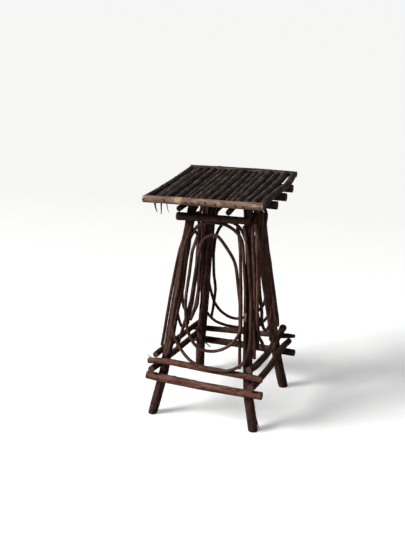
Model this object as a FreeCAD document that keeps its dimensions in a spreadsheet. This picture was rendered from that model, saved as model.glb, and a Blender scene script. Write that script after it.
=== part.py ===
import FreeCAD, Part
import math
import os
import Sketcher
from FreeCAD import Placement, Rotation, Vector

# A tall square stand of round hickory sticks with the bark left on: four splayed legs, a stack of
# crossed rails round their feet and another under the top, a top of sticks laid side by side,
# and on each side two arches and two loops of twig, bent green and nailed on.
# The front is toward -Y, the floor is at zero height, and every length is in millimetres.

document = FreeCAD.newDocument("RusticStand")
sheet = document.addObject("Spreadsheet::Sheet", "Sizes")

# Sizes that belong to the whole stand. The legs' feet stand on the floor, and the stand is placed
# so that the middle of its outline in plan is the origin.
STAND = {
    "leg_height": 611.0,
    "seat_clearance": 0.3,
    "centre_x": 9.66,
    "centre_y": 6.84,
    "slat_length": 338.0,
    "slat_diameter": 17.0,
    "slat_gap": 5.0,
    "slat_left_x": -137.5,
    "slat_back_y": 172.0,
    "slat_drift": -6.5,
    "front_edge_strip_length": 318.0,
    "front_edge_strip_diameter": 20.0,
    "back_edge_strip_length": 320.0,
    "back_edge_strip_diameter": 18.0,
    "strip_overhang": -4.0,
    "twig_diameter": 9.0,
    "twig_span": 100.0,
    "nail_length": 32.0,
    "nail_diameter": 2.2,
    "nail_head_diameter": 4.4,
    "nail_head_height": 1.2,
    "twig_nail_length": 15.0,
    "twig_nail_diameter": 1.4,
    "twig_nail_head_diameter": 3.2,
    "twig_nail_head_height": 0.9,
    "nail_head_stand": 0.4,
    "nail_sink": 1.0,
    "nail_clearance": 0.1,
    "slat_nail_offset": 3.0,
    "bearer_nail_offset": 6.0,
    "rail_nail_offset": 1.5,
    "side_rail_diameter": 15.5,
    "bearer_diameter": 22.0,
}

# Each leg: where its foot stands, how far its head leans from there, and its girth.
LEG_SIZES = ("foot_x", "foot_y", "lean_x", "lean_y", "diameter")
LEGS = {
    "front_left_leg": (-154.0, -140.0, 113.0, 56.0, 27.5),
    "front_right_leg": (147.0, -144.0, -36.0, 60.0, 27.5),
    "back_right_leg": (155.0, 138.0, -72.0, -55.0, 28.0),
    "back_left_leg": (-123.0, 165.0, 80.0, -85.5, 28.0),
}

# Each rail is nailed across the outside of two legs: its height at the first leg, how much it
# rises to the second, how far it runs on past the first, and its own length and girth.
RAIL_SIZES = ("height", "rise", "overhang", "length", "diameter")
RAILS = {
    "front_lower_rail": ("front_left_leg", "front_right_leg", (123.5, -6.5, 39.0, 336.0, 23.5)),
    "back_lower_rail": ("back_left_leg", "back_right_leg", (101.2, 6.0, 40.0, 338.0, 21.8)),
    "left_lower_rail": ("front_left_leg", "back_left_leg", (147.4, -23.6, 42.0, 350.0, 18.8)),
    "right_lower_rail": ("front_right_leg", "back_right_leg", (138.8, -2.0, 41.0, 338.0, 19.7)),
    "front_upper_rail": ("front_left_leg", "front_right_leg", (171.8, -7.0, 45.0, 332.0, 18.5)),
    "back_upper_rail": ("back_left_leg", "back_right_leg", (142.0, 18.0, 38.0, 333.0, 18.0)),
    "left_upper_rail": ("front_left_leg", "back_left_leg", (189.0, -28.0, 30.0, 330.0, 17.0)),
    "right_upper_rail": ("front_right_leg", "back_right_leg", (187.0, -2.0, 35.0, 308.0, 19.0)),
}

# The frame under the top: two rails nailed across the legs, two side rails laid on them, and
# three bearers laid on those and on the heads of the front legs.
TOP_RAIL_SIZES = ("overhang", "length", "diameter")
TOP_RAILS = {
    "front_top_rail": ("front_left_leg", "front_right_leg", (31.0, 198.0, 21.5)),
    "back_top_rail": ("back_left_leg", "back_right_leg", (24.0, 182.0, 21.5)),
}
CROSS_SIZES = ("place", "start", "length", "skew")
SIDE_RAILS = {
    "left_side_rail": (-70.0, -112.0, 224.0, 4.0),
    "right_side_rail": (66.0, -110.0, 220.0, -13.0),
}
BEARERS = {
    "front_bearer": (-72.0, -124.0, 310.0, 2.0),
    "middle_bearer": (13.0, -126.0, 313.0, 2.0),
    "back_bearer": (106.0, -128.0, 308.0, 1.0),
}


def fill_sheet():
    """Write every driving size into the sheet as a named plain number."""
    rows = dict(STAND)
    for label, values in LEGS.items():
        rows.update({f"{label}_{kind}": value for kind, value in zip(LEG_SIZES, values)})
    for label, (first, second, values) in RAILS.items():
        rows.update({f"{label}_{kind}": value for kind, value in zip(RAIL_SIZES, values)})
    for label, (first, second, values) in TOP_RAILS.items():
        rows.update({f"{label}_{kind}": value for kind, value in zip(TOP_RAIL_SIZES, values)})
    for label, values in {**SIDE_RAILS, **BEARERS}.items():
        rows.update({f"{label}_{kind}": value for kind, value in zip(CROSS_SIZES, values)})
    for row, (alias, value) in enumerate(rows.items(), start=1):
        sheet.set(f"A{row}", alias)
        sheet.set(f"B{row}", str(value))
        sheet.setAlias(f"B{row}", alias)
    document.recompute()


def size(alias):
    """The number that a named cell of the sheet holds."""
    return float(sheet.get(alias))


fill_sheet()
clearance = size("seat_clearance")
sticks = {}
lines = {}
UP = Vector(0, 0, 1)


def plane_of(body, role):
    """One of a body's own origin planes."""
    return next(part for part in body.Origin.OriginFeatures if part.Role == role)


def circle_sketch(body, name, height, across, rise, radius):
    """A circle at a height along the body's Z axis, off that axis by across and rise."""
    sketch = body.newObject("Sketcher::SketchObject", name)
    sketch.AttachmentSupport = (plane_of(body, "XY_Plane"), "")
    sketch.MapMode = "FlatFace"
    sketch.setExpression(".AttachmentOffset.Base.z", height)
    circle = sketch.addGeometry(Part.Circle(Vector(1, 1, 0), UP, 1), False)
    for kind, name, value in (("DistanceX", "across", across), ("DistanceY", "rise", rise)):
        index = sketch.addConstraint(Sketcher.Constraint(kind, -1, 1, circle, 3, 1.0))
        sketch.renameConstraint(index, name)
        sketch.setExpression(f".Constraints.{name}", value)
    index = sketch.addConstraint(Sketcher.Constraint("Radius", circle, 1.0))
    sketch.renameConstraint(index, "radius")
    sketch.setExpression(".Constraints.radius", radius)
    return sketch


def loft_body(label, stations, placement):
    """A stick as a loft through circles, one at each of its stations."""
    body = document.addObject("PartDesign::Body", label)
    body.Label = label
    sections = [
        circle_sketch(body, f"{label}_station_{number}", *station)
        for number, station in enumerate(stations)
    ]
    loft = body.newObject("PartDesign::AdditiveLoft", f"{label}_loft")
    loft.Profile = sections[0]
    loft.Sections = sections[1:]
    loft.Ruled = True
    body.Placement = placement
    document.recompute()
    sticks[label] = body
    lines[label] = [
        (
            placement.multVec(section.Placement.multVec(section.Geometry[0].Center)),
            section.Geometry[0].Radius,
        )
        for section in sections
    ]
    return body


def turned(start, along, up=UP):
    """The placement at start whose Z axis points along and whose Y axis is as upright as it can be."""
    along = Vector(along).normalize()
    across = up.cross(along).normalize()
    return Placement(start, Rotation(across, along.cross(across), along, "ZXY"))


def stick(label, start, along, length, diameter, shares):
    """A round stick from start along a direction, as crooked and tapered as its shares say.

    Each row of shares is a place along the length, two shifts of the girth off the straight line
    (across to the left of the direction, and upward) and the girth there."""
    stations = [
        (
            f"({length}) * {place}",
            f"{diameter} * {across}",
            f"{diameter} * {rise}",
            f"{diameter} / 2 * {girth}",
        )
        for place, across, rise, girth in shares
    ]
    return loft_body(label, stations, turned(start, along))


def spot(x, y, z):
    """A place given from the middle of the feet, moved to the stand's own origin."""
    return Vector(x - size("centre_x"), y - size("centre_y"), z)


def at_height(label, height):
    """Where a standing stick's middle line is at a height, its direction there and its radius."""
    line = lines[label]
    for (low, low_radius), (high, high_radius) in zip(line, line[1:]):
        if height <= high.z or high is line[-1][0]:
            share = (height - low.z) / (high.z - low.z)
            point = low + (high - low) * share
            radius = low_radius + (high_radius - low_radius) * share
            return point, (high - low).normalize(), radius


def nearest(label_a, label_b):
    """The closest pair of places on two sticks' middle lines, with the radius at each."""
    best = None
    for (a0, ra0), (a1, ra1) in zip(lines[label_a], lines[label_a][1:]):
        for (b0, rb0), (b1, rb1) in zip(lines[label_b], lines[label_b][1:]):
            share_a, share_b = closest_shares(a0, a1, b0, b1)
            point_a = a0 + (a1 - a0) * share_a
            point_b = b0 + (b1 - b0) * share_b
            gap = (point_b - point_a).Length
            if best is None or gap < best[0]:
                radius_a = ra0 + (ra1 - ra0) * share_a
                radius_b = rb0 + (rb1 - rb0) * share_b
                best = (gap, point_a, point_b, radius_a, radius_b)
    return best


def closest_shares(a0, a1, b0, b1):
    """How far along each of two straight runs they come closest to each other."""
    run_a, run_b, between = a1 - a0, b1 - b0, a0 - b0
    aa, ab, bb = run_a.dot(run_a), run_a.dot(run_b), run_b.dot(run_b)
    away = aa * bb - ab * ab
    share_a = (ab * run_b.dot(between) - bb * run_a.dot(between)) / away if away else 0
    share_a = min(1, max(0, share_a))
    share_b = min(1, max(0, (ab * share_a + run_b.dot(between)) / bb))
    share_a = min(1, max(0, (ab * share_b - run_a.dot(between)) / aa))
    return share_a, share_b


# The legs: hickory saplings that lean in toward the top, each with its own bow, cut level at the
# floor and level under the bearers. Rows are place along, shift in X, shift in Y and girth.
leg_shares = {
    "front_left_leg": (
        (0, 0, 0, 1.0), (0.11, 0.2, -0.03, 0.98), (0.22, 0.38, -0.05, 0.96), (0.55, 0.2, 0.04, 0.97),
        (0.8, 0.08, 0, 0.93), (1, 0, 0, 0.9),
    ),
    "front_right_leg": (
        (0, 0, 0, 1.02), (0.09, -0.22, 0, 1.0), (0.16, -0.43, 0, 0.97), (0.33, -0.4, 0.02, 0.96),
        (0.48, -0.14, 0.03, 1.02), (0.6, 0.06, 0.02, 0.95), (0.78, 0.12, 0, 0.93), (1, 0, 0, 0.88),
    ),
    "back_right_leg": (
        (0, 0, 0, 1.04), (0.14, -0.22, 0.05, 1.0), (0.4, -0.3, 0.08, 0.97), (0.67, -0.3, 0.05, 0.95),
        (0.85, -0.14, 0, 0.93), (1, 0, 0, 0.9),
    ),
    "back_left_leg": (
        (0, 0, 0, 1.0), (0.12, -0.12, -0.05, 1.0), (0.41, -0.06, 0.04, 0.97), (0.63, -0.1, 0.06, 0.98),
        (0.82, 0, 0, 0.95), (1, 0, 0, 0.92),
    ),
}

for label, shares in leg_shares.items():
    stations = [
        (
            f"Sizes.leg_height * {place}",
            f"Sizes.{label}_lean_x * {place} + Sizes.{label}_diameter * {shift_x}",
            f"Sizes.{label}_lean_y * {place} + Sizes.{label}_diameter * {shift_y}",
            f"Sizes.{label}_diameter / 2 * {girth}",
        )
        for place, shift_x, shift_y, girth in shares
    ]
    foot = spot(size(f"{label}_foot_x"), size(f"{label}_foot_y"), 0)
    loft_body(label, stations, Placement(foot, Rotation()))


def seat_on_leg(leg, height, run, outward, radius):
    """The middle of a level stick that lies against the outside of a leg at a height."""
    point, direction, leg_radius = at_height(leg, height)
    normal = direction.cross(run).normalize()
    reach = (leg_radius + radius + clearance) / abs(normal.dot(outward))
    return point + outward * reach


def rail_across(label, first, second, height, rise, outward, shares):
    """A rail nailed across the outside of two legs, with its first end past the first leg."""
    radius = size(f"{label}_diameter") / 2
    run = at_height(second, height + rise)[0] - at_height(first, height)[0]
    near = seat_on_leg(first, height, run, outward, radius)
    far = seat_on_leg(second, height + rise, run, outward, radius)
    along = (far - near).normalize()
    start = near - along * size(f"{label}_overhang")
    return stick(
        label, start, along, f"Sizes.{label}_length", f"Sizes.{label}_diameter", shares
    )


# The rails round the feet, stacked crosswise like the corner of a log cabin. Each bows between
# the legs, and only upward or downward, so that it lies true against both.
rail_shares = {
    "front_lower_rail": (
        (0, 0, 0.1, 0.98), (0.13, 0, 0, 1.02), (0.48, 0, -0.08, 1.0), (0.85, 0, 0, 0.97),
        (1, 0, 0.06, 0.95),
    ),
    "back_lower_rail": ((0, 0, 0, 1.0), (0.5, 0, 0.05, 0.98), (1, 0, 0, 0.95)),
    "left_lower_rail": ((0, 0, 0.05, 1.0), (0.12, 0, 0, 1.0), (0.5, 0, -0.1, 0.97), (1, 0, 0, 0.95)),
    "right_lower_rail": (
        (0, 0.15, 0.1, 1.0), (0.1, 0, 0, 1.0), (0.5, 0, -0.38, 0.98), (0.9, 0, 0, 0.96),
        (1, -0.35, 0.1, 0.92),
    ),
    "front_upper_rail": (
        (0, 0, -0.3, 0.9), (0.13, 0, 0, 0.95), (0.22, 0, 0.08, 1.0), (0.5, 0, -0.02, 1.0),
        (0.86, 0, 0, 0.96), (1, 0, -0.15, 0.9),
    ),
    "back_upper_rail": ((0, 0, 0, 1.0), (0.5, 0, 0.05, 0.98), (0.9, 0, 0, 0.94), (1, 0, 0.1, 0.6)),
    "left_upper_rail": (
        (0, 0, -0.1, 1.0), (0.1, 0, 0, 1.0), (0.5, 0, -0.06, 0.98), (0.9, 0, 0, 0.96), (1, 0, 0, 0.94),
    ),
    "right_upper_rail": (
        (0, 0.5, 0.05, 1.0), (0.11, 0, 0, 1.0), (0.42, 0, -0.55, 1.0), (0.7, 0, -0.5, 0.98),
        (0.92, 0, 0, 0.99), (1, 0, 0.15, 1.2),
    ),
}
OUTWARD = {
    "front": Vector(0, -1, 0),
    "back": Vector(0, 1, 0),
    "left": Vector(-1, 0, 0),
    "right": Vector(1, 0, 0),
}

for label, (first, second, values) in RAILS.items():
    outward = OUTWARD[label.split("_")[0]]
    height, rise = size(f"{label}_height"), size(f"{label}_rise")
    rail_across(label, first, second, height, rise, outward, rail_shares[label])

# The frame under the top is stacked down from the heads of the legs: bearers, side rails, and
# the two rails that are nailed across the legs.
bearer_seat = size("leg_height") + clearance
side_rail_height = bearer_seat - clearance - size("side_rail_diameter") / 2
top_rail_shares = {
    "front_top_rail": ((0, 0, -0.06, 1.06), (0.25, 0, 0, 1.0), (0.6, 0, 0.04, 0.95), (1, 0, 0.1, 0.88)),
    "back_top_rail": ((0, 0, 0, 1.0), (0.5, 0, 0.04, 1.0), (1, 0, 0, 0.94)),
}
widest_share = 0.54
for label, (first, second, values) in TOP_RAILS.items():
    drop = size("side_rail_diameter") / 2 + size(f"{label}_diameter") * widest_share + clearance
    outward = OUTWARD[label.split("_")[0]]
    rail_across(label, first, second, side_rail_height - drop, 0, outward, top_rail_shares[label])

cross_shares = {
    "left_side_rail": ((0, 0, 0, 1.0), (0.4, 0.06, 0, 1.0), (1, 0, 0, 1.0)),
    "right_side_rail": ((0, 0, 0, 1.0), (0.6, 0.06, 0, 1.0), (1, 0, 0, 1.0)),
    "front_bearer": ((0, 0, 0, 1.0), (0.45, 0.05, 0, 1.0), (0.8, -0.03, 0, 1.0), (1, 0, 0, 1.0)),
    "middle_bearer": ((0, 0, 0, 1.0), (0.45, -0.06, 0, 1.0), (1, 0, 0, 1.0)),
    "back_bearer": ((0, 0, 0, 1.0), (0.5, 0.05, 0, 1.0), (1, 0, 0, 1.0)),
}
for label in SIDE_RAILS:
    near = spot(size(f"{label}_place"), size(f"{label}_start"), side_rail_height)
    along = Vector(size(f"{label}_skew"), size(f"{label}_length"), 0)
    stick(label, near, along, f"Sizes.{label}_length", "Sizes.side_rail_diameter", cross_shares[label])

for label in BEARERS:
    height = bearer_seat + size("bearer_diameter") / 2
    near = spot(size(f"{label}_start"), size(f"{label}_place"), height)
    along = Vector(size(f"{label}_length"), size(f"{label}_skew"), 0)
    stick(label, near, along, f"Sizes.{label}_length", "Sizes.bearer_diameter", cross_shares[label])

# The top: seventeen sticks laid side by side across the bearers, each as thick as it grew. They
# lie against each other or a little apart, and drift to the left toward the back.
slat_front_shares = (
    1.0, 0.71, 0.96, 1.12, 1.06, 0.73, 0.86, 0.95, 1.12, 1.09, 1.06, 0.78, 0.93, 1.12, 1.1, 1.2, 1.12,
)
slat_back_shares = (
    0.94, 0.71, 0.95, 1.02, 1.04, 0.82, 0.92, 0.88, 1.06, 1.24, 0.9, 0.88, 0.98, 1.28, 1.12, 1.26, 1.12,
)
gap_front_shares = (1.5, 0, 0.2, 1.05, 0.9, 0, 0.15, 0, 0.65, 0.5, 0.85, 0, 0, 0.2, 0.1, 0.4, 0)
gap_back_shares = (0.32, 0, 0.7, 0.64, 0.4, 0.08, 0.08, 0.35, 0, 0.5, 0.6, 0.2, 0.64, 0.47, 0.6, 0.36, 0)
slat_bow_shares = (-0.24, 0, 0, 0.08, -0.1, 0, 0, 0, -0.08, -0.13, -0.05, 0, 0, -0.05, -0.1, -0.22, 0)
last_slat_shares = (
    (0.18, -0.05), (0.45, -0.24), (0.52, -0.42), (0.59, -0.58), (0.68, -0.55), (0.79, -0.42), (0.92, -0.16),
)
bow_place_shares = (0.25, 0.6)
slat_shortening_share = 0.047
slat_seat = bearer_seat + size("bearer_diameter") + clearance
slat_count = len(slat_front_shares)
slat_names = [f"slat_{number:02d}" for number in range(1, slat_count + 1)]


def beside(place, share, next_share, gap_share):
    """The middle of the next round stick on the same seat, a gap away from this one."""
    touching = size("slat_diameter") * math.sqrt(share * next_share)
    return place + touching + clearance + size("slat_gap") * gap_share


front_x = size("slat_left_x")
back_x = front_x + size("slat_drift")
slat_ends = []
for index, label in enumerate(slat_names):
    front_share, back_share = slat_front_shares[index], slat_back_shares[index]
    length_share = 1 - slat_shortening_share * index / (slat_count - 1)
    near = spot(front_x, size("slat_back_y") - size("slat_length") * length_share, slat_seat)
    far = spot(back_x, size("slat_back_y"), slat_seat)
    slat_ends.append((near, far))
    bow = slat_bow_shares[index]
    bowed = [(place, bow) for place in bow_place_shares]
    places = last_slat_shares if label == slat_names[-1] else bowed
    rows = [(0, 0, front_share / 2, front_share)]
    for place, across in places:
        girth = round(front_share + (back_share - front_share) * place, 3)
        rows.append((place, across, girth / 2, girth))
    rows.append((1, 0, back_share / 2, back_share))
    stick(label, near, far - near, f"Sizes.slat_length * {length_share:.4f}", "Sizes.slat_diameter", rows)
    if index + 1 < slat_count:
        front_x = beside(front_x, front_share, slat_front_shares[index + 1], gap_front_shares[index])
        back_x = beside(back_x, back_share, slat_back_shares[index + 1], gap_back_shares[index])

# The edge strips: one stick nailed along the front ends of the slats and one along the back ends.
strip_shares = {
    "front_edge_strip": (
        (0, 0, 0.02, 1.0), (0.12, 0, 0.02, 0.96), (0.3, 0, 0.04, 1.0), (0.62, 0, 0, 0.97), (1, 0, 0, 1.0),
    ),
    "back_edge_strip": ((0, 0, -0.1, 1.0), (0.3, 0, 0, 0.98), (0.7, 0, 0.05, 1.0), (1, 0, 0, 0.95)),
}
strip_height_shares = {"front_edge_strip": 0.44, "back_edge_strip": 0.66}
slant_share = 0.6


def edge_strip(label, first, last, outward):
    """A stick laid along the ends of the slats, from the first slat's end to the last one's."""
    along = (last - first).normalize()
    reach = size(f"{label}_diameter") / 2 + clearance
    reach = reach + abs(along.y) * size("slat_diameter") * slant_share
    lift = UP * size("slat_diameter") * strip_height_shares[label]
    start = first - along * (size("slat_diameter") / 2 + size("strip_overhang"))
    start = start + outward * reach + lift
    return stick(
        label, start, along, f"Sizes.{label}_length", f"Sizes.{label}_diameter", strip_shares[label]
    )


edge_strip("front_edge_strip", slat_ends[0][0], slat_ends[-1][0], OUTWARD["front"])
edge_strip("back_edge_strip", slat_ends[0][1], slat_ends[-1][1], OUTWARD["back"])

# The twigs: on each side two arches stand between the rails and the top, and two loops hang
# from the top. Rows are the corners that a twig bends round: shares of the twig span along the
# side from its middle, and up from the floor.
SIDES = {
    "front": ("front_left_leg", "front_right_leg"),
    "right": ("front_right_leg", "back_right_leg"),
    "back": ("back_right_leg", "back_left_leg"),
    "left": ("back_left_leg", "front_left_leg"),
}
twig_shares = {
    "front_outer_arch": (
        (-1.24, 1.94), (-0.84, 3.85), (-0.68, 5.3), (-0.36, 5.7), (0.34, 5.71), (0.79, 5.4), (0.93, 4.0),
        (0.98, 1.84),
    ),
    "front_inner_arch": (
        (-0.96, 2.14), (-0.6, 3.5), (-0.46, 4.55), (-0.33, 5.24), (0.06, 5.44), (0.3, 5.16), (0.63, 4.72),
        (0.7, 4.2), (0.79, 3.6), (0.87, 1.84),
    ),
    "front_outer_loop": (
        (-0.58, 5.6), (-0.76, 5.1), (-0.95, 3.85), (-1.15, 2.62), (-0.45, 1.76), (0.6, 1.76), (1.05, 2.05),
        (1.17, 2.62), (1.12, 3.8), (0.99, 4.9), (0.83, 5.7),
    ),
    "front_inner_loop": (
        (-0.43, 5.36), (-0.58, 4.9), (-0.64, 4.25), (-0.74, 3.5), (-0.64, 2.7), (-0.34, 2.26), (0.15, 2.23),
        (0.6, 2.46), (0.88, 2.85), (0.845, 3.6), (0.73, 5.1), (0.62, 5.62),
    ),
    "right_outer_arch": (
        (-1.25, 2.06), (-1.3, 3.2), (-1.32, 4.4), (-1.25, 5.4), (-0.95, 5.9), (-0.45, 5.95), (0.5, 5.7),
        (1.05, 5.38), (1.14, 4.7), (1.22, 4.0), (1.3, 3.2), (1.22, 2.3), (1.12, 2.02),
    ),
    "right_inner_arch": (
        (-1.2, 2.3), (-1.16, 3.6), (-1.15, 4.8), (-1.0, 5.35), (-0.62, 5.34), (-0.36, 4.95), (-0.16, 4.36),
        (0.06, 3.7), (0.13, 3.1), (0.15, 2.6), (0.1, 2.02),
    ),
    "right_outer_loop": (
        (-1.1, 5.8), (-1.3, 5.0), (-1.4, 4.0), (-1.42, 3.2), (-1.3, 2.7), (-0.9, 2.2), (-0.54, 1.9),
        (-0.1, 1.82), (0.26, 2.0), (0.5, 2.6), (0.58, 3.1), (0.62, 3.7), (0.7, 4.4), (0.8, 5.1), (0.8, 5.8),
    ),
    "right_inner_loop": (
        (-0.8, 6.0), (-0.95, 5.5), (-1.08, 4.9), (-1.16, 4.0), (-1.12, 3.4), (-0.88, 2.8), (-0.55, 2.59),
        (-0.13, 2.6), (0.17, 2.9), (0.28, 3.5), (0.26, 4.2), (0.05, 5.0), (-0.1, 5.96),
    ),
    "back_outer_arch": (
        (-1.0, 1.78), (-0.88, 3.1), (-0.78, 4.4), (-0.62, 5.3), (-0.3, 5.68), (0.25, 5.68), (0.64, 5.3),
        (0.86, 4.7), (1.05, 3.8), (1.2, 2.6), (1.3, 1.66),
    ),
    "back_inner_arch": (
        (-0.62, 1.8), (-0.5, 2.6), (-0.4, 3.8), (-0.32, 4.55), (-0.15, 5.0), (0.16, 5.14), (0.41, 5.02),
        (0.62, 4.65), (0.75, 4.0), (0.81, 3.3), (0.79, 2.84), (0.98, 2.02), (1.08, 1.7),
    ),
    "back_outer_loop": (
        (-0.68, 5.65), (-0.85, 4.9), (-0.96, 4.0), (-1.04, 3.2), (-1.0, 2.6), (-0.85, 2.1), (-0.52, 1.74),
        (0, 1.52), (0.6, 1.5), (1.05, 1.58), (1.28, 1.9), (1.36, 2.5), (1.25, 3.37), (1.02, 4.6),
        (0.8, 5.65),
    ),
    "back_inner_loop": (
        (-0.42, 5.65), (-0.678, 4.5), (-0.803, 3.6), (-0.84, 2.95), (-0.72, 2.45), (-0.4, 2.14), (0.1, 1.84),
        (0.4, 1.8), (0.78, 1.98), (1.0, 2.4), (1.08, 3.05), (0.95, 3.95), (0.8, 4.75), (0.5, 5.58),
    ),
    "left_outer_arch": (
        (-1.3, 1.78), (-1.1, 2.4), (-1.05, 3.0), (-0.95, 3.6), (-0.78, 4.6), (-0.55, 5.3), (-0.2, 5.6),
        (0.3, 5.6), (0.7, 5.4), (0.92, 4.95), (1.01, 4.4), (1.12, 3.7), (1.24, 3.2), (1.3, 2.7),
        (1.29, 2.07),
    ),
    "left_inner_arch": (
        (-0.95, 1.86), (-0.86, 2.5), (-0.78, 3.2), (-0.65, 4.1), (-0.41, 4.8), (-0.02, 5.1), (0.3, 5.0),
        (0.52, 4.44), (0.61, 3.66), (0.57, 2.86), (0.5, 2.1),
    ),
    "left_outer_loop": (
        (-0.6, 5.75), (-0.8, 4.75), (-1.12, 3.76), (-1.45, 2.8), (-1.5, 2.3), (-1.29, 1.82), (-0.98, 1.7),
        (-0.57, 1.84), (-0.13, 2.32), (0.35, 3.0), (0.5, 3.86), (0.5, 4.8), (0.35, 5.75),
    ),
    "left_inner_loop": (
        (-0.4, 5.75), (-0.6, 5.1), (-0.85, 4.3), (-1.12, 3.2), (-1.2, 2.6), (-1.08, 2.25), (-0.8, 2.26),
        (-0.41, 2.55), (-0.05, 3.1), (0.12, 3.9), (0.14, 4.7), (0, 5.8),
    ),
}
tucked_twigs = ("front_inner_loop",)
loft_middle_share = 0.62
loop_top_share = 5.4
rest_share = 0.42
bend_reach_share = 0.42
gentle_bend = math.radians(14)
longest_bend_share = 0.45
bend_step_shares = (0.3, 0.7)
lean_allowance_share = 1.01
easing_rounds = 20
easing_share = 1.3
between_legs_share = 0.8
twig_radius = size("twig_diameter") / 2
span = size("twig_span")
twig_step = size("twig_diameter") + 2 * clearance
side_paths = {side: {} for side in SIDES}


def side_frame(side):
    """The placement of a side: X along it, Y inward and Z up, from the middle between its legs."""
    first, second = (at_height(leg, size("leg_height") * loft_middle_share)[0] for leg in SIDES[side])
    middle = (first + second) / 2
    along = second - first
    along = Vector(along.x, along.y, 0).normalize()
    return Placement(Vector(middle.x, middle.y, 0), Rotation(along, UP.cross(along), UP, "ZXY"))


def leg_face(side, frame, along, height):
    """How far inward a twig's middle line is when it lies against the legs at a place on a side."""
    ends = []
    for leg in SIDES[side]:
        point, direction, radius = at_height(leg, height)
        reach = (radius + twig_radius + clearance) * lean_allowance_share
        ends.append((frame.inverse().multVec(point), reach))
    (first, first_reach), (second, second_reach) = ends
    share = (along - first.x) / (second.x - first.x)
    depth = first.y + (second.y - first.y) * share
    reach = first_reach + (second_reach - first_reach) * min(1, max(0, share))
    depth = depth - reach * between_legs_share
    for middle, leg_reach in ends:
        if abs(along - middle.x) < leg_reach:
            depth = min(depth, middle.y - math.sqrt(leg_reach ** 2 - (along - middle.x) ** 2))
    return depth


def beside_rail(side, frame, along):
    """Where a side's upper rail passes a place along the side: inward, upward and its radius."""
    line = [(frame.inverse().multVec(point), radius) for point, radius in lines[f"{side}_upper_rail"]]
    for (near, near_radius), (far, far_radius) in zip(line, line[1:]):
        if along <= far.x or far is line[-1][0]:
            share = (along - near.x) / (far.x - near.x)
            place = near + (far - near) * share
            return place.y, place.z, near_radius + (far_radius - near_radius) * share


def twig_depth(label, side, frame, along, height):
    """How far inward a twig's middle line is, against the legs or leaning out to the rail."""
    face = leg_face(side, frame, along, height)
    rail_depth, rail_height, rail_radius = beside_rail(side, frame, along)
    reach = rail_radius + twig_radius + clearance
    rest_height = rail_height + reach * rest_share
    rest_depth = rail_depth - reach * math.sqrt(1 - rest_share * rest_share)
    low_face = leg_face(side, frame, along, rest_height)
    slope = (span * loop_top_share - height) / (span * loop_top_share - rest_height)
    lift = max(0, low_face - rest_depth) * min(1, max(0, slope))
    kind = label.split("_", 1)[1]
    if kind == "outer_arch":
        lift = 0
    elif kind == "inner_arch":
        lift = max(0, lift - twig_step)
    depth = face - lift
    above = height - rail_height
    if abs(above) < reach:
        depth = min(depth, rail_depth - math.sqrt(reach * reach - above * above))
    return depth


def plan_crossing(a0, a1, b0, b1):
    """The shares along two runs at which they cross, seen from outside the side, or nothing."""
    run_a, run_b, between = a1 - a0, b1 - b0, b0 - a0
    area = run_a.x * run_b.z - run_a.z * run_b.x
    if not area:
        return None
    share_a = (between.x * run_b.z - between.z * run_b.x) / area
    share_b = (between.x * run_a.z - between.z * run_a.x) / area
    if min(share_a, share_b) < 0 or max(share_a, share_b) > 1:
        return None
    return share_a, share_b


def laid_over(label, side, frame, path):
    """The path of a twig with its depth at every place, bent over the twigs it crosses."""
    flat = [path[0]]
    for near, far in zip(path, path[1:]):
        shares = []
        for other in side_paths[side].values():
            for b0, b1 in zip(other, other[1:]):
                crossing = plan_crossing(near, far, b0, b1)
                if crossing:
                    shares.append(crossing[0])
        for share in sorted(shares):
            point = near + (far - near) * share
            if min((point - flat[-1]).Length, (far - point).Length) > twig_radius:
                flat.append(point)
        flat.append(far)
    laid = []
    for point in flat:
        depth = twig_depth(label, side, frame, point.x, point.z)
        for other_label, other in side_paths[side].items():
            behind = label in tucked_twigs and other_label.endswith("outer_arch") and point.x > 0
            for b0, b1 in zip(other, other[1:]):
                run = Vector(b1.x - b0.x, 0, b1.z - b0.z)
                away = Vector(point.x - b0.x, 0, point.z - b0.z)
                share = min(1, max(0, away.dot(run) / run.dot(run)))
                place = b0 + (b1 - b0) * share
                aside = math.hypot(point.x - place.x, point.z - place.z)
                if aside >= twig_step:
                    continue
                reach = math.sqrt(twig_step ** 2 - aside ** 2)
                depth = max(depth, place.y + reach) if behind else min(depth, place.y - reach)
        laid.append(Vector(point.x, depth, point.z))
    return laid


def eased_clear(side, frame, path):
    """A twig's path with every place that would cut into another stick eased off it."""
    inverse = frame.inverse()
    twigs = [label for paths in side_paths.values() for label in paths]
    others = []
    for label in (*SIDES[side], *RAILS, *TOP_RAILS, *BEARERS, *twigs):
        others.append([(inverse.multVec(point), radius) for point, radius in lines[label]])
    runs = [(a, ra, b, rb) for other in others for (a, ra), (b, rb) in zip(other, other[1:])]
    for round_number in range(easing_rounds):
        pushes = [0] * len(path)
        for index, (near, far) in enumerate(zip(path, path[1:])):
            low, high = min(near.z, far.z) - span, max(near.z, far.z) + span
            for start, start_radius, end, end_radius in runs:
                if max(start.z, end.z) < low or min(start.z, end.z) > high:
                    continue
                mine, theirs = closest_shares(near, far, start, end)
                point, other = near + (far - near) * mine, start + (end - start) * theirs
                radius = start_radius + (end_radius - start_radius) * theirs
                short = twig_radius + radius + clearance - (point - other).Length
                if short > 0:
                    push = short * easing_share * (-1 if point.y <= other.y else 1)
                    for place, weight in ((index, 1 - mine), (index + 1, mine)):
                        if abs(push * weight) > abs(pushes[place]):
                            pushes[place] = push * weight
        if not any(pushes):
            break
        path = [Vector(point.x, point.y + push, point.z) for point, push in zip(path, pushes)]
    return path


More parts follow.
